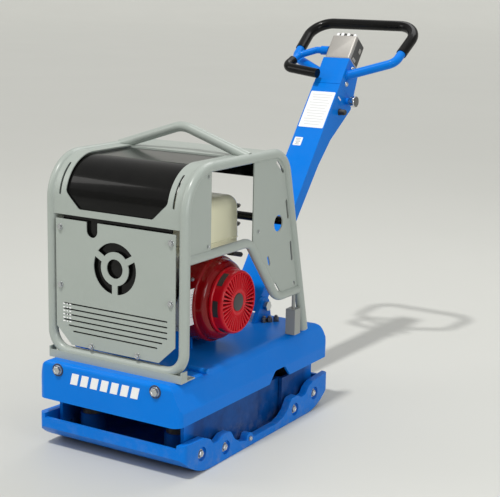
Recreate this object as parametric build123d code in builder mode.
"""Reversible plate compactor: a sprung deck with engine, cage and steering pole on a vibrating base.

Millimetres. +Z is up, -Y is the front (cover side), +Y the back (steering pole), +X the right.
The origin is the middle of the flat of the sole, on the ground.
"""
from build123d import *
from math import atan2, cos, degrees, hypot, radians, sin, sqrt
import os

os.makedirs("parts", exist_ok=True)

# ---------------------------------------------------------------- driving dimensions
# base plate
base_width = 560            # over the extension plates
base_length = 906
sole_thickness = 12
toe_length = 153            # length of the curl at each end of the sole
toe_radius = 210            # both ends of the sole curl up on this radius
lip_height = 98             # top of the upright band at each end
lip_thickness = 12
side_wall_x = 241           # outer face of the tub's side walls
side_wall_thickness = 12
side_wall_top = 150
end_wall_y = 395
end_wall_top = 70
wall_recess = (34, 190)      # y from, y to of the stretch of side wall that steps in
recess_depth = 15

# bolt-on extension plates
wing_thickness = 26
wing_corner = 22
wing_strip = 24             # height of the low strip between the lobes
wing_top_from_end = ((0, 112), (113, 107), (145, 94), (163, 73), (191, 71), (221, 85), (261, 85), (285, 52),
                     (313, 34), (349, 24))    # its upper edge, distance from the end and height
wing_top_bend = 18
wing_pad = 34               # radius of the pad behind each bolt
wing_bolts_from_end = ((100, 60), (235, 39))    # distance from the end, height
wing_end_top = 112
wing_small_bolt = (-75, 25)
wing_small_lobe = 19
wing_bolt_hole = 8.5
small_bolt_hole = 5.1
wing_sink_radius = 22.5
wing_sink_depth = 9

# exciter, two shafts across the machine
shaft_y = 52                # each side of the middle
shaft_z = 92
shaft_radius = 15
exciter_half = 140          # half length of the housing
exciter_outer = 64
exciter_bore = 48
gear_chamber = 58
gear_chamber_from = 96
exciter_cover = 12
bearing_radius = 31
weight_radius = 42
weight_span = (-118, 78)
gear_span = (106, 130)
gear_tip = 51.7             # the pair runs with open backlash
gear_root = 46
gear_teeth = 24
pulley_radius = 60
pulley_x = -200
pulley_half = 15
groove_depth = 9
shift_cylinder_radius = 30
shift_bore = 17
shift_length = 56
piston_radius = 16.8
piston_length = 22
piston_rest = 26            # from the cylinder's mouth, with the travel lever at the pole
running_gap = 0.05

# rubber buffers between base and deck
buffer_x = 165
buffer_y = 320
buffer_radius = 35
buffer_foot_top = 100
buffer_top = 172

# deck
deck_half_width = 270
deck_half_length = 467
deck_bottom = 168
deck_top = 295
deck_wall = 8
shelf_thickness = 10
corner_spare = 0.6          # keeps the rounded plan's faces off the other outlines' faces
notch_span = (74, 186)
notch_top = 206
belt_slot = (-228, -172, -128, 42)    # x from, x to, y from, y to in the deck top

# engine
crank_y = -40
crank_z = 459
engine_foot_z = 353
case_x = (-105, 65)
case_y = (-125, 45)
case_top = 560
case_wall = 9
crank_radius = 14
shroud_x = (72, 162)
shroud_radius = 142
shroud_wall = 3
recoil_radius = 104
recoil_x = 207
flywheel_radius = 92
tank_x = (-62, 146)
tank_y = (-214, 56)
tank_z = (614, 800)
tank_corner = 30
cylinder_tilt = 25          # the cylinder leans forward, this far above level
drum_radius = 55

# cage
tube_radius = 16
tube_wall = 3
cage_x = 249                # middle of the side tubes
cage_front_y = -410
cage_top_z = 928
front_bend = 130
rear_bend = 90
rear_top_y = 150            # where top rail and rear leg would meet
rear_foot_y = 312
rear_foot_z = 299
cross_bar_z = 319
corner_bend = 65
joint_z = 390               # where the front bar's ends meet the side tubes
mid_rail_z = 663
mid_radius = 15
sheet = 4
sheet_x = 252               # middle of the side sheets
pillar_back = -281
panel_front = -40
lift_y = -65
lift_rise = 86              # the lifting bar's peak above the cage's top rails

# front cover, hood and roof
cover_y = -423              # outer face of the front cover
cover_thickness = 3
cover_half = 225
cover_top = 742
cover_bottom = 345
upper_bottom = 755
window_half = 190
hood_gap = 5
hood_half = 205
hood_bottom = 383           # the hood runs down behind the front cover as an inner panel
roof_back = 112
apron_bottom = 843

# steering pole: placed by distance along it and distance forward of the pivot's axis
pivot_y = 350
pivot_z = 345
pole_lean = 37.45           # from upright
pole_half = 57
pole_wall = 5
pole_face = 21              # front face, forward of the pivot's axis
pole_back = ((-34, -27), (390, -27), (600, -35), (722, -54), (898, -117), (925, -112))
pole_end = 925
head_end = 1042
head_back = (-112, -80)
seam = 1.5
valve_length = 108
valve_half = 53
valve_depth = (19, -62)
pivot_pin_radius = 12
loop_start = (985, -12)     # along, forward
loop_tilt = 17
loop_points = ((40, -6), (216, 92), (233, 318))
loop_radii = (48, 82)
bar_radius = 17
grip_radius = 20.5
lever_axis = (1090, -5)
lever_x = -58
lever_radius = 13
lever_grip = 18
knob_place = (905, -66)
knob_pin_radius = 6

fit = 0.3                   # free gap between pieces of different bodies


def keep(piece, label):
    """Label a finished piece and write it."""
    piece.part.label = label
    export_step(piece.part, f"parts/{label}.step")


def block(x, y, z, mode=Mode.ADD):
    """A box from its three spans, inside the open part."""
    middle = tuple((low + high) / 2 for low, high in (x, y, z))
    with Locations(middle):
        Box(abs(x[1] - x[0]), abs(y[1] - y[0]), z[1] - z[0], mode=mode)


def rod_along(points, bend, radius, bore=0):
    """A round bar or tube through points, with tangent arcs at the corners."""
    with BuildPart() as rod:
        with BuildLine() as route:
            FilletPolyline(*points, radius=bend)
        with BuildSketch(Plane(origin=route.line @ 0, z_dir=route.line % 0)):
            Circle(radius)
            if bore:
                Circle(bore, mode=Mode.SUBTRACT)
        sweep()
    return rod.part


def hex_bolt(radius, head_radius, head, shank):
    """A hexagon bolt on its washer: head up, shank down from zero."""
    washer = head / 4
    with BuildPart() as bolt:
        with BuildSketch():
            Circle(head_radius * 1.35)
        extrude(amount=washer)
        with BuildSketch(Plane.XY.offset(washer)):
            RegularPolygon(head_radius, 6)
        extrude(amount=head)
        with BuildSketch():
            Circle(radius)
        extrude(amount=-shank)
    return bolt.part


def bolts(places, radius, head_radius, head, shank):
    """Separate bolts, each at a plane whose z points out of the head."""
    with BuildPart() as group:
        for place in places:
            with Locations(Location(place)):
                add(hex_bolt(radius, head_radius, head, shank))
    return group


# ---------------------------------------------------------------- base plate
half_length = base_length / 2
wing_top = [(half_length - back, z) for back, z in wing_top_from_end] + [(0, wing_strip)]
wing_bolts = [(half_length - back, z) for back, z in wing_bolts_from_end]
toe_run = toe_length
half_flat = half_length - toe_run
toe_rise = toe_radius - sqrt(toe_radius ** 2 - toe_run ** 2)
inner_run = toe_run - lip_thickness
inner_toe = toe_radius - sole_thickness
inner_rise = toe_radius - sqrt(inner_toe ** 2 - inner_run ** 2)
base_x = base_width / 2 - wing_thickness


def toe_arc(end, run, rise, radius):
    """The arc of one end of the sole, about the centre above the end of its flat."""
    turn = degrees(atan2(run, toe_radius - rise)) / 2
    middle = (end * (half_flat + radius * sin(radians(turn))), toe_radius - radius * cos(radians(turn)))
    start = (end * half_flat, toe_radius - radius)
    ThreePointArc(start, middle, (end * (half_flat + run), rise))


def sole_outline(top):
    """The region above the sole's outer curve, up to a height."""
    with BuildLine() as outline:
        Line((-half_flat, 0), (half_flat, 0))
        for end in (1, -1):
            toe_arc(end, toe_run, toe_rise, toe_radius)
            Line((end * half_length, toe_rise), (end * half_length, top))
        Line((half_length, top), (-half_length, top))
    make_face(outline.edges())


wall_span = (side_wall_x - side_wall_thickness, side_wall_x)
with BuildPart() as tub:
    for side in (1, -1):
        block((side * wall_span[0], side * wall_span[1]), (-end_wall_y, end_wall_y), (0, side_wall_top))
        with BuildSketch(Plane.YZ.offset(side * side_wall_x)):
            for y, z in wing_bolts:
                with Locations((y, z), (-y, z)):
                    Circle(wing_pad)
            with Locations(wing_small_bolt):
                Circle(wing_small_lobe - 4)
        extrude(amount=side * (base_x - side_wall_x))
    for side in (1, -1):
        y_from, y_to = wall_recess
        recess_x = side_wall_x - recess_depth
        block((side * recess_x, side * (side_wall_x + 1)), (y_from, y_to), (sole_thickness, side_wall_top + 1),
              mode=Mode.SUBTRACT)
        block((side * (recess_x - side_wall_thickness), side * recess_x),
              (y_from - side_wall_thickness, y_to + side_wall_thickness), (0, side_wall_top))
    for end in (1, -1):
        end_span = (end * end_wall_y, end * (end_wall_y - side_wall_thickness))
        block((-side_wall_x, side_wall_x), end_span, (0, end_wall_top))
    for x in (-buffer_x, buffer_x):
        for y in (-buffer_y, buffer_y):
            with Locations((x, y, buffer_foot_top / 2)):
                Cylinder(buffer_radius + 6, buffer_foot_top)
    with BuildSketch(Plane.YZ):
        sole_outline(side_wall_top)
    extrude(amount=base_x, both=True, mode=Mode.INTERSECT)

with BuildPart() as base_plate:
    with BuildSketch(Plane.YZ):
        sole_outline(lip_height)
    extrude(amount=base_x, both=True)
    with BuildSketch(Plane.YZ):
        with BuildLine():
            Line((-half_flat, sole_thickness), (half_flat, sole_thickness))
            for end in (1, -1):
                toe_arc(end, inner_run, inner_rise, inner_toe)
                inner_end = end * (half_length - lip_thickness)
                Line((inner_end, inner_rise), (inner_end, lip_height))
            Line((half_length - lip_thickness, lip_height), (lip_thickness - half_length, lip_height))
        make_face()
    extrude(amount=base_x, both=True, mode=Mode.SUBTRACT)
    add(tub.part)
    for side in (1, -1):
        with BuildSketch(Plane.YZ.offset(side * (base_x + 1))):
            for y, z in wing_bolts:
                with Locations((y, z), (-y, z)):
                    Circle(wing_bolt_hole)
            with Locations(wing_small_bolt):
                Circle(small_bolt_hole)
        extrude(amount=-side * (base_x - wall_span[0] + 2), mode=Mode.SUBTRACT)
keep(base_plate, "base_plate")


def wing(side):
    """One extension plate: a low strip with lobes round the bolts and tall ends."""
    outer = side * base_width / 2
    with BuildPart() as plate:
        with BuildSketch(Plane.YZ.offset(side * base_x)):
            for end in (1, -1):
                with BuildLine() as edge:
                    FilletPolyline(*((end * y, z) for y, z in wing_top), radius=wing_top_bend)
                    Polyline((0, wing_strip), (0, 0), (end * half_length, 0), (end * half_length, wing_end_top))
                make_face(edge.edges())
            with Locations(wing_small_bolt):
                Circle(wing_small_lobe)
        extrude(amount=side * wing_thickness)
        with BuildSketch(Plane.YZ.offset(side * base_x)):
            sole_outline(wing_end_top)
        extrude(amount=side * wing_thickness, mode=Mode.INTERSECT)
        outer_edges = plate.edges().filter_by(Axis.Z).filter_by_position(Axis.X, outer - 1, outer + 1)
        fillet([edge for edge in outer_edges if abs(edge.center().Y) > half_length - 1], wing_corner)
        with BuildSketch(Plane.YZ.offset(outer)):
            for y, z in wing_bolts:
                with Locations((y, z), (-y, z)):
                    Circle(wing_sink_radius)
        extrude(amount=-side * wing_sink_depth, mode=Mode.SUBTRACT)
        with BuildSketch(Plane.YZ.offset(outer)):
            for y, z in wing_bolts:
                with Locations((y, z), (-y, z)):
                    Circle(wing_bolt_hole)
            with Locations(wing_small_bolt):
                Circle(small_bolt_hole)
        extrude(amount=-side * wing_thickness, mode=Mode.SUBTRACT)
    return plate


for side, name in ((1, "right_extension_plate"), (-1, "left_extension_plate")):
    keep(wing(side), name)


def side_plane(side, x, y, z):
    """A plane at a point of one side of the machine, facing outwards."""
    return Plane(origin=(side * x, y, z), x_dir=(0, side, 0), z_dir=(side, 0, 0))


sink_x = base_width / 2 - wing_sink_depth
wing_places = [side_plane(side, sink_x, end * y, z) for side in (1, -1) for end in (1, -1) for y, z in wing_bolts]
small_places = [side_plane(side, base_width / 2, *wing_small_bolt) for side in (1, -1)]
with BuildPart() as extension_bolts:
    add(bolts(wing_places, wing_bolt_hole - fit, 12.5, 8, wing_thickness).part)
    add(bolts(small_places, small_bolt_hole - fit, 8, 5, wing_thickness).part)
keep(extension_bolts, "extension_bolts")


# ---------------------------------------------------------------- exciter
def two_circles(radius):
    """A circle round each shaft, joined by a bar as tall as they are."""
    with Locations((-shaft_y, shaft_z), (shaft_y, shaft_z)):
        Circle(radius)
    with Locations((0, shaft_z)):
        Rectangle(2 * shaft_y, 2 * radius)


with BuildPart() as exciter_housing:
    with BuildSketch(Plane.YZ.offset(-exciter_half)):
        two_circles(exciter_outer)
        Polygon((-116, sole_thickness), (116, sole_thickness), (100, shaft_z), (-100, shaft_z), align=None)
    extrude(amount=2 * exciter_half)
    with BuildSketch(Plane.YZ.offset(-exciter_half)):
        with Locations((-shaft_y, shaft_z), (shaft_y, shaft_z)):
            Circle(exciter_bore)
    extrude(amount=2 * exciter_half, mode=Mode.SUBTRACT)
    with BuildSketch(Plane.YZ.offset(gear_chamber_from)):
        with Locations((-shaft_y, shaft_z), (shaft_y, shaft_z)):
            Circle(gear_chamber)
    extrude(amount=exciter_half - gear_chamber_from, mode=Mode.SUBTRACT)
keep(exciter_housing, "exciter_housing")

with BuildPart() as exciter_covers:
    for start in (-exciter_half - exciter_cover, exciter_half):
        with BuildSketch(Plane.YZ.offset(start)):
            two_circles(exciter_outer)
            with Locations((-shaft_y, shaft_z), (shaft_y, shaft_z)):
                Circle(bearing_radius, mode=Mode.SUBTRACT)
        extrude(amount=exciter_cover)
keep(exciter_covers, "exciter_end_covers")

with BuildPart() as bearings:
    for start in (-exciter_half - exciter_cover, exciter_half):
        with BuildSketch(Plane.YZ.offset(start)):
            with Locations((-shaft_y, shaft_z), (shaft_y, shaft_z)):
                Circle(bearing_radius)
                Circle(shaft_radius + running_gap, mode=Mode.SUBTRACT)
        extrude(amount=exciter_cover)
keep(bearings, "shaft_bearings")


def eccentric_shaft(y, left_end):
    """A shaft with a half-round weight hanging below it."""
    right_end = exciter_half + exciter_cover
    with BuildPart() as shaft:
        with BuildSketch(Plane.YZ.offset(left_end)):
            with Locations((y, shaft_z)):
                Circle(shaft_radius)
        extrude(amount=right_end - left_end)
        with BuildSketch(Plane.YZ.offset(weight_span[0])):
            with Locations((y, shaft_z)):
                Circle(weight_radius)
            with Locations((y, shaft_z + weight_radius)):
                Rectangle(3 * weight_radius, 2 * weight_radius, mode=Mode.SUBTRACT)
        extrude(amount=weight_span[1] - weight_span[0])
    return shaft


pulley_left = pulley_x - pulley_half
keep(eccentric_shaft(-shaft_y, pulley_left), "front_eccentric_shaft")
keep(eccentric_shaft(shaft_y, -exciter_half - exciter_cover), "rear_eccentric_shaft")


def gear(y, phase):
    """A spur gear with plain trapezoid teeth, bored for its shaft."""
    tooth = radians(360 / gear_teeth)
    with BuildPart() as wheel:
        with BuildSketch(Plane.YZ.offset(gear_span[0])):
            with Locations((y, shaft_z)):
                Circle(gear_root)
                with PolarLocations(0, gear_teeth, start_angle=phase):
                    foot = gear_root * tooth * 0.29
                    tip = gear_tip * tooth * 0.16
                    Polygon((gear_root - 2, -foot), (gear_tip, -tip), (gear_tip, tip), (gear_root - 2, foot),
                            align=None)
                Circle(shaft_radius, mode=Mode.SUBTRACT)
        extrude(amount=gear_span[1] - gear_span[0])
    return wheel


keep(gear(-shaft_y, 0), "front_exciter_gear")
keep(gear(shaft_y, 180 / gear_teeth), "rear_exciter_gear")


def grooved_wheel(y, z, radius, bore, depth_to_hub):
    """A V-belt wheel about a shaft across the machine, dished on its outer side."""
    with BuildPart() as wheel:
        with BuildSketch(Plane.XZ.offset(-y)):
            with Locations((pulley_x, z)):
                Polygon((-pulley_half, bore), (-pulley_half, radius), (-8, radius), (-5, radius - groove_depth),
                        (5, radius - groove_depth), (8, radius), (pulley_half, radius), (pulley_half, bore),
                        align=None)
                Polygon((-pulley_half, bore + 14), (-pulley_half, radius - 14),
                        (depth_to_hub - pulley_half, radius - 18), (depth_to_hub - pulley_half, bore + 18),
                        align=None, mode=Mode.SUBTRACT)
        revolve(axis=Axis((0, y, z), (1, 0, 0)))
    return wheel


keep(grooved_wheel(-shaft_y, shaft_z, pulley_radius, shaft_radius, 10), "exciter_pulley")

cylinder_start = exciter_half + exciter_cover
with BuildPart() as shift_cylinder:
    with BuildSketch(Plane.YZ.offset(cylinder_start)):
        with Locations((shaft_y, shaft_z)):
            Circle(shift_cylinder_radius)
    extrude(amount=shift_length)
    with BuildSketch(Plane.YZ.offset(cylinder_start)):
        with Locations((shaft_y, shaft_z)):
            Circle(shift_bore)
    extrude(amount=shift_length - 6, mode=Mode.SUBTRACT)
keep(shift_cylinder, "shift_cylinder")

with BuildPart() as shift_piston:
    with BuildSketch(Plane.YZ.offset(cylinder_start + piston_rest)):
        with Locations((shaft_y, shaft_z)):
            Circle(piston_radius)
    extrude(amount=piston_length)
keep(shift_piston, "shift_piston")

with BuildPart() as buffers:
    for x in (-buffer_x, buffer_x):
        for y in (-buffer_y, buffer_y):
            with BuildSketch(Plane.XZ.offset(-y)):
                with BuildLine():
                    Line((x, buffer_foot_top), (x + buffer_radius, buffer_foot_top))
                    waist = (x + buffer_radius - 6, (buffer_foot_top + buffer_top) / 2)
                    ThreePointArc((x + buffer_radius, buffer_foot_top), waist, (x + buffer_radius, buffer_top))
                    Polyline((x + buffer_radius, buffer_top), (x, buffer_top), (x, buffer_foot_top))
                make_face()
            revolve(axis=Axis((x, y, 0), (0, 0, 1)))
keep(buffers, "rubber_buffers")


# ---------------------------------------------------------------- deck
def deck_block(inset, bottom):
    """The deck's outer shape, drawn in by an amount: where its three outlines overlap."""
    width = deck_half_width - inset
    length = deck_half_length - inset
    top = deck_top - inset
    with BuildPart() as shape:
        with BuildSketch(Plane.XY.offset(bottom)):
            RectangleRounded(2 * width + corner_spare, 2 * length + corner_spare, 32 - inset)
        extrude(amount=top - bottom + corner_spare)
        with BuildSketch(Plane.XZ.offset(-2 * length)):
            with BuildLine():
                FilletPolyline((-width, bottom), (-width, 208), (26 - width, top), (width - 26, top),
                               (width, 208), (width, bottom), radius=(30, 30, 30, 30))
                Line((width, bottom), (-width, bottom))
            make_face()
        extrude(amount=4 * length, mode=Mode.INTERSECT)
        with BuildSketch(Plane.YZ.offset(-2 * width)):
            with BuildLine():
                FilletPolyline((-length, bottom), (-length, top), (length - 22, top), (length, 195),
                               (length, bottom), radius=(16, 56, 30))
                Line((length, bottom), (-length, bottom))
            make_face()
        extrude(amount=4 * width, mode=Mode.INTERSECT)
    return shape.part


deck_inside = deck_block(deck_wall, deck_bottom - 1)
rail_y = (-112, 32)         # the two engine rails lie across the deck here
rail_half = 16
lashing_y = -290
weld_depth = 3              # how far welded pieces run into the deck's wall
rail_x = (-128, 66)
with BuildPart() as deck:
    add(deck_block(0, deck_bottom))
    add(deck_inside, mode=Mode.SUBTRACT)
    for side in (1, -1):
        for end in (1, -1):
            x_span = (side * (buffer_x - 60), side * (deck_half_width - deck_wall / 2))
            y_span = (end * (buffer_y - 60), end * (buffer_y + 60))
            block(x_span, y_span, (buffer_top, buffer_top + shelf_thickness))
    with BuildSketch(Plane.YZ.offset(-2 * deck_half_width)):
        with BuildLine():
            y_from, y_to = notch_span
            FilletPolyline((y_from - 14, deck_bottom), (y_from + 22, notch_top), (y_to - 28, notch_top),
                           (y_to + 6, deck_bottom), radius=18)
            Line((y_to + 6, deck_bottom), (y_from - 14, deck_bottom))
        make_face()
    extrude(amount=4 * deck_half_width, mode=Mode.SUBTRACT)
    x_from, x_to, y_from, y_to = belt_slot
    block((x_from, x_to), (y_from, y_to), (deck_top - 40, deck_top), mode=Mode.SUBTRACT)
    # a lashing rod lies across each front corner
    for side in (1, -1):
        with BuildSketch(Plane.YZ.offset(side * 190)):
            with Locations((lashing_y, deck_top + 5)):
                Circle(9)
        extrude(amount=side * 66)
    # two welded channels carry the engine
    for y in rail_y:
        block(rail_x, (y - rail_half, y + rail_half), (engine_foot_z - 6, engine_foot_z))
        for edge in (rail_half - 6, -rail_half):
            block(rail_x, (y + edge, y + edge + 6), (deck_top - weld_depth, engine_foot_z - 6))
    # two welded ears carry the pole's pivot pin
    for side in (1, -1):
        with BuildSketch(Plane.YZ.offset(side * (pole_half + 3))):
            Polygon((pivot_y - 74, deck_top - weld_depth), (pivot_y - 27, pivot_z + 12),
                    (pivot_y + 27, pivot_z + 12), (pivot_y + 42, deck_top - weld_depth), align=None)
            with Locations((pivot_y, pivot_z)):
                Circle(30)
                Circle(pivot_pin_radius + running_gap, mode=Mode.SUBTRACT)
        extrude(amount=side * 14)
keep(deck, "deck")

front_bolt_x = 186
front_bolt_z = 271
deck_bolt_places = [(Plane(origin=(x, -deck_half_length, front_bolt_z), z_dir=(0, -1, 0)), 22, 15, 9)
                    for x in (-front_bolt_x, front_bolt_x)]
deck_bolt_places += [(Plane(origin=(side * 222, -370, deck_top + 4), z_dir=(0, 0, 1)), 13, 10, 8) for side in (1, -1)]
deck_bolt_places += [(Plane(origin=(side * 256, lashing_y, deck_top + 5), z_dir=(side, 0, 0)), 9, 7, 6)
                     for side in (1, -1)]

# ---------------------------------------------------------------- engine
with BuildPart() as crankcase:
    block(case_x, case_y, (engine_foot_z, case_top))
    fillet(crankcase.edges().filter_by(Axis.X), 22)
    block((case_x[0], case_x[1]), (rail_y[0] - rail_half, rail_y[1] + rail_half), (engine_foot_z, engine_foot_z + 14))
    block((case_x[0], case_x[1] - case_wall), (case_y[0] + case_wall, case_y[1] - case_wall),
          (engine_foot_z + 24, case_top - case_wall), mode=Mode.SUBTRACT)
    with BuildSketch(Plane.YZ.offset(case_x[1] - case_wall)):
        with Locations((crank_y, crank_z)):
            Circle(crank_radius + running_gap)
    extrude(amount=case_wall, mode=Mode.SUBTRACT)
    # the carburettor, on its inlet pipe behind the case
    block((-30, 20), (66, 118), (556, 608))
    block((-24, 12), (case_y[1], 82), (520, 556))
keep(crankcase, "crankcase")

case_cover_thickness = 14
with BuildPart() as crankcase_cover:
    with BuildSketch(Plane.YZ.offset(case_x[0] - case_cover_thickness)):
        with Locations(((case_y[0] + case_y[1]) / 2, (engine_foot_z + case_top) / 2 + 4)):
            RectangleRounded(case_y[1] - case_y[0], case_top - engine_foot_z - 12, 28)
        with Locations((crank_y, crank_z)):
            Circle(crank_radius + running_gap, mode=Mode.SUBTRACT)
    extrude(amount=case_cover_thickness)
keep(crankcase_cover, "crankcase_cover")

crank_left = pulley_x - pulley_half - 6
crank_right = 150
with BuildPart() as crankshaft:
    with BuildSketch(Plane.YZ.offset(crank_left)):
        with Locations((crank_y, crank_z)):
            Circle(crank_radius)
    extrude(amount=crank_right - crank_left)
    for start in (-62, -12):
        with BuildSketch(Plane.YZ.offset(start)):
            with Locations((crank_y, crank_z)):
                Circle(44)
            with Locations((crank_y, crank_z + 55)):
                Rectangle(88, 60, mode=Mode.SUBTRACT)
        extrude(amount=18)
keep(crankshaft, "crankshaft")

with BuildPart() as flywheel:
    with BuildSketch(Plane.YZ.offset(82)):
        with Locations((crank_y, crank_z)):
            Circle(flywheel_radius)
            Circle(crank_radius, mode=Mode.SUBTRACT)
    extrude(amount=22)
    with BuildSketch(Plane.YZ.offset(104)):
        with Locations((crank_y, crank_z)):
            with PolarLocations(flywheel_radius - 26, 16):
                Rectangle(42, 4)
    extrude(amount=20)
keep(flywheel, "flywheel")


def shroud_outline(inset):
    """The fan housing seen from the side: a circle round the crank and a duct forward and up."""
    with Locations((crank_y, crank_z)):
        Circle(shroud_radius - inset)
    with BuildLine() as duct:
        Polyline((crank_y, crank_z + shroud_radius - inset), (crank_y - 128, crank_z + shroud_radius - inset),
                 (crank_y - 174 + inset, crank_z + shroud_radius - 40), (crank_y - 174 + inset, crank_z + 10),
                 (crank_y - 142 + inset, crank_z - 32), (crank_y, crank_z - 32),
                 (crank_y, crank_z + shroud_radius - inset))
    make_face(duct.edges())


with BuildPart() as fan_shroud:
    with BuildSketch(Plane.YZ.offset(shroud_x[0])):
        shroud_outline(0)
    extrude(amount=shroud_x[1] - shroud_x[0])
    shroud_rim = fan_shroud.edges().filter_by_position(Axis.X, shroud_x[1] - 0.1, shroud_x[1] + 0.1)
    fillet(shroud_rim, 16)
    with BuildSketch(Plane.YZ.offset(shroud_x[0])):
        shroud_outline(shroud_wall)
    extrude(amount=shroud_x[1] - shroud_x[0] - 18, mode=Mode.SUBTRACT)
    with BuildSketch(Plane.YZ.offset(shroud_x[0])):
        with Locations((crank_y, crank_z)):
            Circle(recoil_radius - 12)
    extrude(amount=shroud_x[1] - shroud_x[0], mode=Mode.SUBTRACT)
keep(fan_shroud, "fan_shroud")

slot_count = 28
hub_radius = 30
with BuildPart() as recoil_cover:
    with BuildSketch(Plane.XZ.offset(-crank_y)):
        with BuildLine():
            Polyline((shroud_x[1], crank_z + recoil_radius - 12), (shroud_x[1], crank_z + recoil_radius - 8),
                     (recoil_x - 16, crank_z + recoil_radius))
            JernArc((recoil_x - 16, crank_z + recoil_radius), (1, 0), 12, -90)
            Polyline((recoil_x - 4, crank_z + recoil_radius - 12), (recoil_x, crank_z + hub_radius + 24),
                     (recoil_x, crank_z), (recoil_x - 4, crank_z), (recoil_x - 4, crank_z + hub_radius + 20),
                     (recoil_x - 8, crank_z + recoil_radius - 14), (recoil_x - 18, crank_z + recoil_radius - 4),
                     (shroud_x[1], crank_z + recoil_radius - 12))
        make_face()
    revolve(axis=Axis((0, crank_y, crank_z), (1, 0, 0)))
    with BuildSketch(Plane.YZ.offset(recoil_x - 14)):
        with Locations((crank_y, crank_z)):
            with PolarLocations((recoil_radius + hub_radius) / 2 + 2, slot_count):
                SlotOverall(recoil_radius - hub_radius - 26, 4.4)
    extrude(amount=20, mode=Mode.SUBTRACT)
keep(recoil_cover, "recoil_cover")

# the grip lies over the top of the shroud, its pull pointing back along the shroud's curve
grip_place = Plane(origin=(164, crank_y + 9, crank_z + shroud_radius + 12.5), x_dir=(1, 0, 0), z_dir=(0, 0.969, -0.246))
with BuildPart() as starter_grip:
    with BuildSketch(grip_place):
        SlotOverall(30, 16)
    extrude(amount=58)
    chamfer(starter_grip.faces().sort_by(Axis.Y)[-1].edges(), 3)
keep(starter_grip, "starter_grip")

tilt = radians(cylinder_tilt)
barrel = Plane(origin=(-20, crank_y, crank_z), x_dir=(1, 0, 0), z_dir=(0, -cos(tilt), sin(tilt)))
barrel_start = 96
fin_count = 8
fin_pitch = 11
barrel_end = barrel_start + fin_count * fin_pitch
with BuildPart() as cylinder:
    with BuildSketch(barrel.offset(barrel_start)):
        Circle(44)
    extrude(amount=barrel_end - barrel_start)
    for fin in range(fin_count):
        with BuildSketch(barrel.offset(barrel_start + fin * fin_pitch + 3)):
            RectangleRounded(124, 112, 12)
        extrude(amount=3.5)
    block(case_x, (case_y[0], case_y[1] + 80), (engine_foot_z, case_top), mode=Mode.SUBTRACT)
keep(cylinder, "finned_cylinder")

with BuildPart() as rocker_cover:
    with BuildSketch(barrel.offset(barrel_end)):
        RectangleRounded(118, 106, 14)
    extrude(amount=22)
    with BuildSketch(barrel.offset(barrel_end + 22)):
        RectangleRounded(92, 88, 16)
    extrude(amount=26, taper=8)
    with BuildSketch(barrel.offset(barrel_end + 40)):
        with Locations((0, -20)):
            Circle(9)
    extrude(amount=32)
    with BuildSketch(barrel.offset(barrel_end + 70)):
        with Locations((0, -8)):
            SlotOverall(44, 18, rotation=90)
    extrude(amount=14)
keep(rocker_cover, "cylinder_head")

with BuildPart() as fuel_tank:
    block(tank_x, tank_y, tank_z)
    fillet(fuel_tank.edges().filter_by(Axis.Z), tank_corner)
    fillet(fuel_tank.edges().group_by(Axis.Z)[-1], 22)
    chamfer(fuel_tank.edges().group_by(Axis.Z)[0], 14, 8)
    seam_z = (tank_z[0] + tank_z[1]) / 2 - 56
    with BuildSketch(Plane.XY.offset(seam_z)):
        with Locations(((tank_x[0] + tank_x[1]) / 2, (tank_y[0] + tank_y[1]) / 2)):
            RectangleRounded(tank_x[1] - tank_x[0] + 8, tank_y[1] - tank_y[0] + 8, tank_corner + 4)
    extrude(amount=3)
    with Locations((42, -82, tank_z[1] + 4)):
        Cylinder(26, 12)
keep(fuel_tank, "fuel_tank")

cap_base = tank_z[1] + 10
with BuildPart() as fuel_cap:
    with BuildSketch(Plane.XY.offset(cap_base)):
        with Locations((42, -82)):
            Circle(36)
            with PolarLocations(37, 18):
                Circle(2.2, mode=Mode.SUBTRACT)
    extrude(amount=20)
    fillet(fuel_cap.edges().group_by(Axis.Z)[-1], 1.2)
keep(fuel_cap, "fuel_cap")

air_x = (-192, -78)
air_y = (52, 172)
air_z = (548, 690)
with BuildPart() as air_cleaner:
    block(air_x, air_y, air_z)
    fillet(air_cleaner.edges().filter_by(Axis.Z), 18)
    fillet(air_cleaner.edges().group_by(Axis.Z)[-1], 12)
    block((-58 - 20, -30), (70, 120), (560, 604))
keep(air_cleaner, "air_cleaner")

muffler_x = (-206, -88)
muffler_y = (-304, -196)
muffler_z = (520, 628)
with BuildPart() as muffler:
    with BuildSketch(Plane.YZ.offset(muffler_x[0])):
        with Locations((sum(muffler_y) / 2, sum(muffler_z) / 2)):
            RectangleRounded(muffler_y[1] - muffler_y[0], muffler_z[1] - muffler_z[0], 40)
    extrude(amount=muffler_x[1] - muffler_x[0])
    fillet(muffler.edges().group_by(Axis.X)[0], 10)
    with BuildSketch(Plane.YZ.offset(muffler_x[0])):
        with Locations((muffler_y[0] + 40, muffler_z[0] + 40)):
            Circle(13)
    extrude(amount=-16)
    with BuildSketch(Plane.YZ.offset(muffler_x[0] - 16)):
        with Locations((muffler_y[0] + 40, muffler_z[0] + 40)):
            Circle(10)
    extrude(amount=30, mode=Mode.SUBTRACT)
keep(muffler, "muffler")

keep(grooved_wheel(crank_y, crank_z, drum_radius, crank_radius, 12), "clutch_drum")


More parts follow.
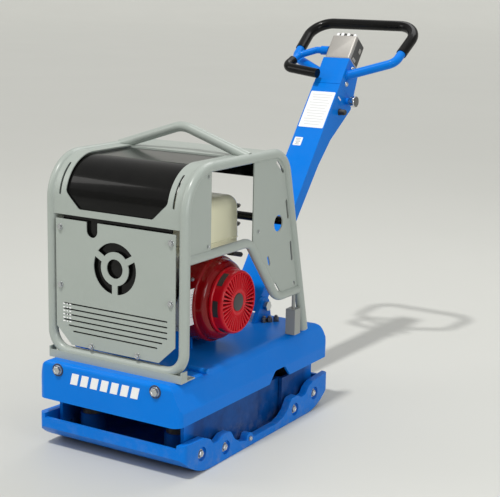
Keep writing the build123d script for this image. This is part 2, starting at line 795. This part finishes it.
def belt_loop(allowance):
    """The belt's run round both grooves: outer edge of the loop, drawn in by an amount."""
    drop = crank_z - shaft_z
    shift = crank_y + shaft_y
    upper = drum_radius - groove_depth + 8.5 - allowance
    lower = pulley_radius - groove_depth + 8.5 - allowance
    span = hypot(shift, drop)
    lean = atan2(shift, drop)
    spread = atan2(lower - upper, span)
    points = []
    for hand in (1, -1):
        angle = hand * spread * -1
        direction = (hand * cos(lean - hand * angle), -hand * sin(lean - hand * angle))
        points.append(((crank_y + upper * direction[0], crank_z + upper * direction[1]),
                       (-shaft_y + lower * direction[0], shaft_z + lower * direction[1])))
    top = (crank_y + upper * sin(lean), crank_z + upper * cos(lean))
    bottom = (-shaft_y - lower * sin(lean), shaft_z - lower * cos(lean))
    with BuildLine() as loop:
        ThreePointArc(points[0][0], top, points[1][0])
        Line(points[1][0], points[1][1])
        ThreePointArc(points[1][1], bottom, points[0][1])
        Line(points[0][1], points[0][0])
    make_face(loop.edges())


belt_thickness = 8
with BuildPart() as drive_belt:
    with BuildSketch(Plane.YZ.offset(pulley_x - 4.6)):
        belt_loop(0)
    extrude(amount=9.2)
    with BuildSketch(Plane.YZ.offset(pulley_x - 4.6)):
        belt_loop(belt_thickness)
    extrude(amount=9.2, mode=Mode.SUBTRACT)
keep(drive_belt, "drive_belt")

guard_x = (-231, -166)
guard_y = (-132, 46)
guard_top = crank_z + drum_radius + 26
with BuildPart() as belt_guard:
    block(guard_x, guard_y, (deck_top, guard_top))
    fillet(belt_guard.edges().filter_by(Axis.X).group_by(Axis.Z)[-1], 60)
    fillet(belt_guard.edges().group_by(Axis.X)[0], 1.4)
    block((guard_x[0] + 2, guard_x[1]), (guard_y[0] + 2, guard_y[1] - 2), (deck_top, guard_top - 62),
          mode=Mode.SUBTRACT)
    with BuildSketch(Plane.YZ.offset(guard_x[0] + 2)):
        with Locations((crank_y - 3, crank_z)):
            Circle(drum_radius + 22)
    extrude(amount=guard_x[1] - guard_x[0] - 2, mode=Mode.SUBTRACT)
keep(belt_guard, "belt_guard")

switch_place = Plane(origin=(118, crank_y + shroud_radius, crank_z), x_dir=(1, 0, 0), z_dir=(0, 1, 0))
with BuildPart() as engine_switch:
    with BuildSketch(switch_place.offset(fit)):
        Circle(14)
    extrude(amount=8)
    with BuildSketch(switch_place.offset(8)):
        SlotOverall(38, 10)
    extrude(amount=12)
keep(engine_switch, "engine_switch")

with BuildPart() as throttle_lever:
    with BuildSketch(Plane.XY.offset(610)):
        with Locations((-6, 92)):
            Circle(8)
        Polygon((-10, 94), (-2, 94), (6, 150), (-1, 152), align=None)
    extrude(amount=3)
    with Locations((2, 151, 614)):
        Cylinder(6, 16)
keep(throttle_lever, "throttle_lever")


# ---------------------------------------------------------------- cage
leg_run = rear_foot_y - rear_top_y
leg_rise = cage_top_z - rear_foot_z


def side_route(side):
    """Corner points of one side tube: up the front, back along the top, down the raked rear leg."""
    x = side * cage_x
    return ((x, cage_front_y, joint_z), (x, cage_front_y, cage_top_z), (x, rear_top_y, cage_top_z),
            (x, rear_foot_y, rear_foot_z))


def front_route():
    """Corner points of the front bar, from one side tube's end to the other's."""
    return ((-cage_x, cage_front_y, joint_z), (-cage_x, cage_front_y, cross_bar_z),
            (cage_x, cage_front_y, cross_bar_z), (cage_x, cage_front_y, joint_z))


side_bends = (front_bend, rear_bend)
side_rod = {side: rod_along(side_route(side), side_bends, tube_radius) for side in (1, -1)}

for side, name in ((1, "right_side_tube"), (-1, "left_side_tube")):
    with BuildPart() as side_tube:
        add(rod_along(side_route(side), side_bends, tube_radius, tube_radius - tube_wall))
    keep(side_tube, name)

foot_plate_back = -352
foot_front = cage_front_y - 18
with BuildPart() as front_tube:
    add(rod_along(front_route(), corner_bend, tube_radius))
    block((-cage_x - 4, cage_x + 4), (foot_front, foot_front + 4), (deck_top, cross_bar_z))
    for side in (1, -1):
        block((side * cage_x, side * (cage_x + 4)), (foot_front, foot_front + 30), (deck_top, cross_bar_z + 10))
        block((side * (cage_x - 62), side * (cage_x + 2)), (foot_front + 2, foot_plate_back - 2),
              (deck_top, deck_top + 4))
    add(rod_along(front_route(), corner_bend, tube_radius - tube_wall), mode=Mode.SUBTRACT)
keep(front_tube, "front_tube_and_foot")

# the mid rail bends down along the engine and runs back to the rear leg
rail_points = ((cage_front_y, mid_rail_z), (-58, mid_rail_z), (118, 449), (262, 449))
rail_bends = (62, 78)


def rail_route(side):
    """Corner points of one mid rail."""
    return [(side * cage_x, y, z) for y, z in rail_points]


rail_rod = {side: rod_along(rail_route(side), rail_bends, mid_radius) for side in (1, -1)}
with BuildPart() as mid_rails:
    for side in (1, -1):
        add(rail_rod[side])
        add(side_rod[side], mode=Mode.SUBTRACT)
    block((-cage_x - mid_radius, cage_x + mid_radius), (cage_front_y, rear_foot_y), (400, 700), mode=Mode.INTERSECT)
keep(mid_rails, "mid_rails")


def side_sheet(side):
    """The pillar sheet and the rear panel of one side, trimmed to the tubes round them."""
    with BuildPart() as plate:
        with BuildSketch(Plane.YZ.offset(side * sheet_x - sheet / 2)):
            with BuildLine():
                FilletPolyline((cage_front_y, mid_rail_z), (cage_front_y, cage_top_z), (panel_front, cage_top_z),
                               radius=front_bend)
                Polyline((panel_front, cage_top_z), (panel_front, mid_rail_z), (cage_front_y, mid_rail_z))
            make_face()
            with Locations(((pillar_back + panel_front) / 2, (mid_rail_z + cage_top_z) / 2)):
                Rectangle(panel_front - pillar_back, cage_top_z - mid_rail_z, mode=Mode.SUBTRACT)
            with BuildLine():
                Polyline((panel_front, cage_top_z), (panel_front, mid_rail_z - 22), rail_points[2],
                         (rear_foot_y - leg_run * (rail_points[2][1] - rear_foot_z) / leg_rise, rail_points[2][1]),
                         (rear_top_y + 22, cage_top_z - 84), (rear_top_y - 42, cage_top_z),
                         (panel_front, cage_top_z))
            make_face()
        extrude(amount=sheet)
        x_from = side * sheet_x - sheet
        cuts = (((97, 903), (144, 862)), ((164, 770), (181, 704)), ((199, 626), (213, 558)),
                ((229, 484), (233, 468)), ((54, 599), (68, 566)), ((102, 500), (134, 464)))
        with BuildSketch(Plane.YZ.offset(x_from)):
            for start, end in cuts:
                y, z = ((a + b) / 2 for a, b in zip(start, end))
                with Locations(Location((y, z), degrees(atan2(end[1] - start[1], end[0] - start[0])))):
                    SlotOverall(hypot(end[0] - start[0], end[1] - start[1]), 11)
            with Locations((117, 698)):
                Circle(27)
        extrude(amount=2 * sheet, mode=Mode.SUBTRACT)
        for rod in (side_rod[side], rail_rod[side]):
            add(rod, mode=Mode.SUBTRACT)
    return plate


for side, name in ((1, "right_side_sheets"), (-1, "left_side_sheets")):
    sheets = side_sheet(side)
    keep(sheets, name)


def roof_path(offset, front_z, back_y):
    """The line of a sheet up the front, round the bend and back along the top."""
    front = cage_front_y + offset
    top = cage_top_z - offset
    bend = front_bend - offset
    Line((front, front_z), (front, top - bend))
    JernArc((front, top - bend), (0, 1), bend, -90)
    Line((front + bend, top), (back_y, top))


def roof_shell(offset, thickness, front_z, back_y):
    """The closed outline of such a sheet, from its outer line inwards."""
    with BuildLine() as shell:
        roof_path(offset, front_z, back_y)
        roof_path(offset + thickness, front_z, back_y)
        Line((cage_front_y + offset, front_z), (cage_front_y + offset + thickness, front_z))
        Line((back_y, cage_top_z - offset), (back_y, cage_top_z - offset - thickness))
    make_face(shell.edges())


upper_offset = -9
strip_y = lift_y - 20
with BuildPart() as upper_sheet:
    with BuildSketch(Plane.YZ.offset(-cage_x)):
        roof_shell(upper_offset, 3, upper_bottom, strip_y)
    extrude(amount=2 * cage_x)
    with BuildSketch(Plane.XZ.offset(-cage_front_y + 40)):
        with BuildLine():
            low = 776
            FilletPolyline((-window_half, 950), (-window_half, 826), (-138, low), (138, low),
                           (window_half, 826), (window_half, 950), radius=(20, 12, 12, 20))
            Line((window_half, 950), (-window_half, 950))
        make_face()
    extrude(amount=-(strip_y - cage_front_y + 40), mode=Mode.SUBTRACT)
    with BuildSketch(Plane.XZ.offset(-cage_front_y + 40)):
        for side in (1, -1):
            with Locations((side * 212, 862)):
                SlotOverall(94, 8, rotation=90)
    extrude(amount=-160, mode=Mode.SUBTRACT)
    for rod in side_rod.values():
        add(rod, mode=Mode.SUBTRACT)
    biggest = upper_sheet.part.solids().sort_by(SortBy.VOLUME)[-1]
    add(biggest, mode=Mode.INTERSECT)
keep(upper_sheet, "upper_front_sheet")

with BuildPart() as hood:
    with BuildSketch(Plane.YZ.offset(-hood_half)):
        roof_shell(upper_offset + 3 + hood_gap, 3, hood_bottom, strip_y - 6)
    extrude(amount=2 * hood_half)
    block((-222, 222), (roof_back - 4, roof_back), (apron_bottom, cage_top_z + 2))
keep(hood, "hood_panels")

with BuildPart() as roof_plate:
    block((-cage_x, cage_x), (strip_y + 2, roof_back), (cage_top_z + 2, cage_top_z + 5))
    block((-hood_half + 10, hood_half - 10), (strip_y + 2, strip_y + 5), (cage_top_z - 12, cage_top_z + 2))
    for rod in side_rod.values():
        add(rod, mode=Mode.SUBTRACT)
    add(roof_plate.part.solids().sort_by(SortBy.VOLUME)[-1], mode=Mode.INTERSECT)
keep(roof_plate, "roof_plate")

lift_route = ((-cage_x, lift_y, cage_top_z + 4), (0, lift_y, cage_top_z + lift_rise), (cage_x, lift_y, cage_top_z + 4))
with BuildPart() as lifting_bar:
    add(rod_along(lift_route, 95, tube_radius))
    for rod in side_rod.values():
        add(rod, mode=Mode.SUBTRACT)
    block((-cage_x, cage_x), (lift_y - 40, lift_y + 40), (cage_top_z - 30, cage_top_z + 5), mode=Mode.SUBTRACT)
    add(lifting_bar.part.solids().sort_by(SortBy.VOLUME)[-1], mode=Mode.INTERSECT)
keep(lifting_bar, "lifting_bar")

rear_bar_z = 690
rear_bar_in = 11.3
rear_bar_y = rear_foot_y - leg_run * (rear_bar_z - rear_foot_z) / leg_rise - rear_bar_in
with BuildPart() as rear_cross_bar:
    with BuildSketch(Plane.YZ.offset(-sheet_x)):
        with Locations((rear_bar_y, rear_bar_z)):
            Circle(14)
    extrude(amount=2 * sheet_x)
    for rod in side_rod.values():
        add(rod, mode=Mode.SUBTRACT)
    block((-sheet_x + sheet, sheet_x - sheet), (0, 400), (600, 800), mode=Mode.INTERSECT)
keep(rear_cross_bar, "rear_cross_bar")

with BuildPart() as front_cover:
    with BuildSketch(Plane.XZ.offset(-cover_y)):
        with BuildLine():
            Polyline((-cover_half, cover_top), (cover_half, cover_top), (cover_half, 400), (166, cover_bottom),
                     (-166, cover_bottom), (-cover_half, 400), (-cover_half, cover_top))
        make_face()
        for row in range(6):
            shorter = 0 if row < 4 else 18 * (row - 3)
            with Locations((0, 476 - 17.3 * row)):
                SlotOverall(394 - 2 * shorter, 5, mode=Mode.SUBTRACT)
        with Locations((-84, cover_top)):
            SlotOverall(94, 42, rotation=90, mode=Mode.SUBTRACT)
    extrude(amount=-cover_thickness)
    emblem = Plane(origin=(2, cover_y, 610), x_dir=(1, 0, 0), z_dir=(0, -1, 0))
    with BuildSketch(emblem):
        Circle(80)
        Circle(52, mode=Mode.SUBTRACT)
        with PolarLocations(66, 3, start_angle=30):
            Rectangle(40, 20, mode=Mode.SUBTRACT)
        Circle(30)
    extrude(amount=-cover_thickness, mode=Mode.SUBTRACT)
keep(front_cover, "front_cover")

cover_bolt_places = [(side * 208, z) for side in (1, -1) for z in (716, 533)] + [(-88, 353), (88, 353)]
frame_bolt_places = deck_bolt_places + [(Plane(origin=(x, cover_y, z), z_dir=(0, -1, 0)), 9, 7, 5)
                                        for x, z in cover_bolt_places]
with BuildPart() as frame_bolts:
    for place, washer_radius, head_radius, head in frame_bolt_places:
        washer = head / 4
        with BuildSketch(place):
            Circle(washer_radius)
        extrude(amount=washer)
        with BuildSketch(place.offset(washer)):
            RegularPolygon(head_radius, 6)
        extrude(amount=head)
keep(frame_bolts, "frame_bolts")

post_top = 383
post_rod_top = 433
post_y = (230, 269)
with BuildPart() as posts:
    for side in (1, -1):
        block((side * 226, side * 262), post_y, (deck_top, post_top))
        with Locations((side * 244, sum(post_y) / 2, (post_top + post_rod_top) / 2)):
            Cylinder(6, post_rod_top - post_top)
keep(posts, "rear_stop_posts")


# ---------------------------------------------------------------- steering pole
lean = radians(pole_lean)
along_dir = (0, sin(lean), cos(lean))
forward_dir = (0, -cos(lean), sin(lean))
pivot = (0, pivot_y, pivot_z)


def pole_point(x, along, forward):
    """A point of the steering pole in the machine's frame."""
    return (x, pivot_y + along * along_dir[1] + forward * forward_dir[1],
            pivot_z + along * along_dir[2] + forward * forward_dir[2])


pole_side = Plane(origin=pivot, x_dir=along_dir, z_dir=(1, 0, 0))


def pole_profile(outline, half, wall):
    """A channel of the pole's side outline, open at the back."""
    with BuildSketch(pole_side.offset(-half)) as solid:
        Polygon(*outline, align=None)
    extrude(solid.sketch, amount=2 * half)
    with BuildSketch(pole_side.offset(wall - half)) as hollow:
        Polygon(*((along, forward - wall if forward > 0 else forward) for along, forward in outline), align=None)
    extrude(hollow.sketch, amount=2 * (half - wall), mode=Mode.SUBTRACT)


def across(x, along, forward):
    """A plane square to the machine's width, at a point of the pole."""
    return Plane(origin=pole_point(x, along, forward), x_dir=along_dir, z_dir=(1, 0, 0))


pole_outline = [(pole_back[0][0], pole_face)] + list(pole_back) + [(pole_end, pole_face)]
with BuildPart() as pole:
    pole_profile(pole_outline, pole_half, pole_wall)
    with BuildSketch(across(-pole_half, 0, 0)):
        Circle(pivot_pin_radius + running_gap)
    extrude(amount=2 * pole_half, mode=Mode.SUBTRACT)
    with BuildSketch(across(pole_half, *knob_place)):
        Circle(13)
    extrude(amount=12)
    with BuildSketch(across(pole_half - pole_wall, *knob_place)):
        Circle(knob_pin_radius + running_gap)
    extrude(amount=12 + pole_wall, mode=Mode.SUBTRACT)
keep(pole, "steering_pole")

head_outline = [(pole_end + seam, pole_face), (pole_end + seam, head_back[0]), (head_end, head_back[1]), (head_end, pole_face)]
with BuildPart() as pole_head:
    pole_profile(head_outline, pole_half - 1, pole_wall)
keep(pole_head, "pole_head")

valve_end = head_end + valve_length
front_of_valve, back_of_valve = valve_depth
with BuildPart() as valve:
    with BuildSketch(pole_side.offset(-valve_half)):
        Polygon((head_end, front_of_valve), (valve_end, front_of_valve), (valve_end, back_of_valve + 16),
                (valve_end - 30, back_of_valve), (head_end, back_of_valve), align=None)
    extrude(amount=2 * valve_half)
    with BuildSketch(pole_side.offset(-valve_half)):
        Polygon((head_end, front_of_valve - 3), (valve_end - 3, front_of_valve - 3),
                (valve_end - 3, back_of_valve + 20), (valve_end - 32, back_of_valve + 3),
                (head_end, back_of_valve + 3), align=None)
    extrude(amount=2 * valve_half, mode=Mode.SUBTRACT)
keep(valve, "valve_cover")

with BuildPart() as valve_body:
    with BuildSketch(pole_side.offset(4 - valve_half)):
        Polygon((head_end, front_of_valve - 8), (valve_end - 8, front_of_valve - 8),
                (valve_end - 8, back_of_valve + 24), (valve_end - 36, back_of_valve + 8),
                (head_end, back_of_valve + 8), align=None)
    extrude(amount=2 * (valve_half - 4))
    with BuildSketch(across(lever_x + fit, *lever_axis)):
        Circle(11)
    extrude(amount=-lever_x - fit)
keep(valve_body, "hydraulic_valve")

tilt_back = radians(loop_tilt)
loop_dir = tuple(cos(tilt_back) * a - sin(tilt_back) * f for a, f in zip(along_dir, forward_dir))
loop_origin = pole_point(0, *loop_start)


def loop_point(x, reach):
    """A point in the handlebar's plane."""
    return tuple(o + x * u + reach * d for o, u, d in zip(loop_origin, (1, 0, 0), loop_dir))


loop_left = [loop_point(-x, reach) for x, reach in loop_points]
loop_right = [loop_point(x, reach) for x, reach in loop_points]
loop_route = loop_left + loop_right[::-1]
loop_bends = loop_radii + loop_radii[::-1]
handlebar_rod = rod_along(loop_route, loop_bends, bar_radius)
with BuildPart() as handlebar:
    add(handlebar_rod)
    with BuildSketch(pole_side.offset(1 - pole_half)):
        Rectangle(2 * head_end + 200, 300)
    extrude(amount=2 * (pole_half - 1), mode=Mode.SUBTRACT)
keep(handlebar, "handlebar")

grip_x = loop_points[1][0] + 4
grip_reach = 146            # the sleeve starts here, past the first bend
sleeve_route = [loop_point(-grip_x, grip_reach), loop_left[2], loop_right[2], loop_point(grip_x, grip_reach)]
sleeve_bends = (loop_radii[1], loop_radii[1])
with BuildPart() as sleeve:
    add(rod_along(sleeve_route, sleeve_bends, grip_radius))
    add(handlebar_rod, mode=Mode.SUBTRACT)
keep(sleeve, "handlebar_grip")

# travel lever: a hub on the valve's left side, an arm out to the left, then a grip bent across the front
lever_corners = ((lever_x - 30, *lever_axis), (-112, 1088, -2), (-172, 1050, 12), (-182, 965, 55), (-34, 944, 55))
lever_route = [pole_point(*corner) for corner in lever_corners]
lever_bends = (14, 26, 30)
grip_from = 0.42            # share of the third run that is bare
bare_end = tuple(a + grip_from * (b - a) for a, b in zip(lever_route[2], lever_route[3]))
with BuildPart() as travel_lever:
    add(rod_along([*lever_route[:3], bare_end], lever_bends[:2], lever_radius))
    with BuildSketch(across(lever_x - 34, *lever_axis)):
        Circle(17)
    extrude(amount=34)
keep(travel_lever, "travel_lever")

with BuildPart() as lever_sleeve:
    add(rod_along([bare_end, *lever_route[3:]], lever_bends[2:], lever_grip))
keep(lever_sleeve, "lever_grip")

with BuildPart() as lock_knob:
    with BuildSketch(across(pole_half - pole_wall, *knob_place)):
        Circle(knob_pin_radius)
    extrude(amount=pole_wall + 16)
    with BuildSketch(across(pole_half + 12 + fit, *knob_place)):
        Circle(12)
    extrude(amount=12)
    with BuildSketch(across(pole_half + 24, *knob_place)):
        Circle(22)
    extrude(amount=18)
    fillet(lock_knob.edges().group_by(Axis.X)[-1], 6)
keep(lock_knob, "locking_knob")

pin_overhang = 24
with BuildPart() as pivot_pin:
    with BuildSketch(across(-pole_half - pin_overhang, 0, 0)):
        Circle(pivot_pin_radius)
    extrude(amount=2 * (pole_half + pin_overhang))
    for start in (-pole_half - pin_overhang - 8, pole_half + pin_overhang):
        with BuildSketch(across(start, 0, 0)):
            RegularPolygon(18, 6)
        extrude(amount=8)
keep(pivot_pin, "pole_pivot_pin")

with BuildPart() as pole_bolts:
    for along, forward in ((968, -50), (1012, -52)):
        for side in (1, -1):
            with BuildSketch(across(side * (pole_half - 1), along, forward)):
                Circle(9)
            extrude(amount=side * 2)
            with BuildSketch(across(side * (pole_half + 1), along, forward)):
                RegularPolygon(7, 6)
            extrude(amount=side * 6)
keep(pole_bolts, "pole_head_bolts")

hose_radius = 8
hose_x = 22
hose_ends = (60, head_end - 4)
hose_route = [pole_point(hose_x, hose_ends[0], -4), pole_point(hose_x, 420, -4), pole_point(hose_x - 6, 700, -12),
              pole_point(hose_x, 920, -20), pole_point(hose_x, hose_ends[1], -20)]
with BuildPart() as hose:
    add(rod_along(hose_route, 200, hose_radius))
keep(hose, "hydraulic_hose")
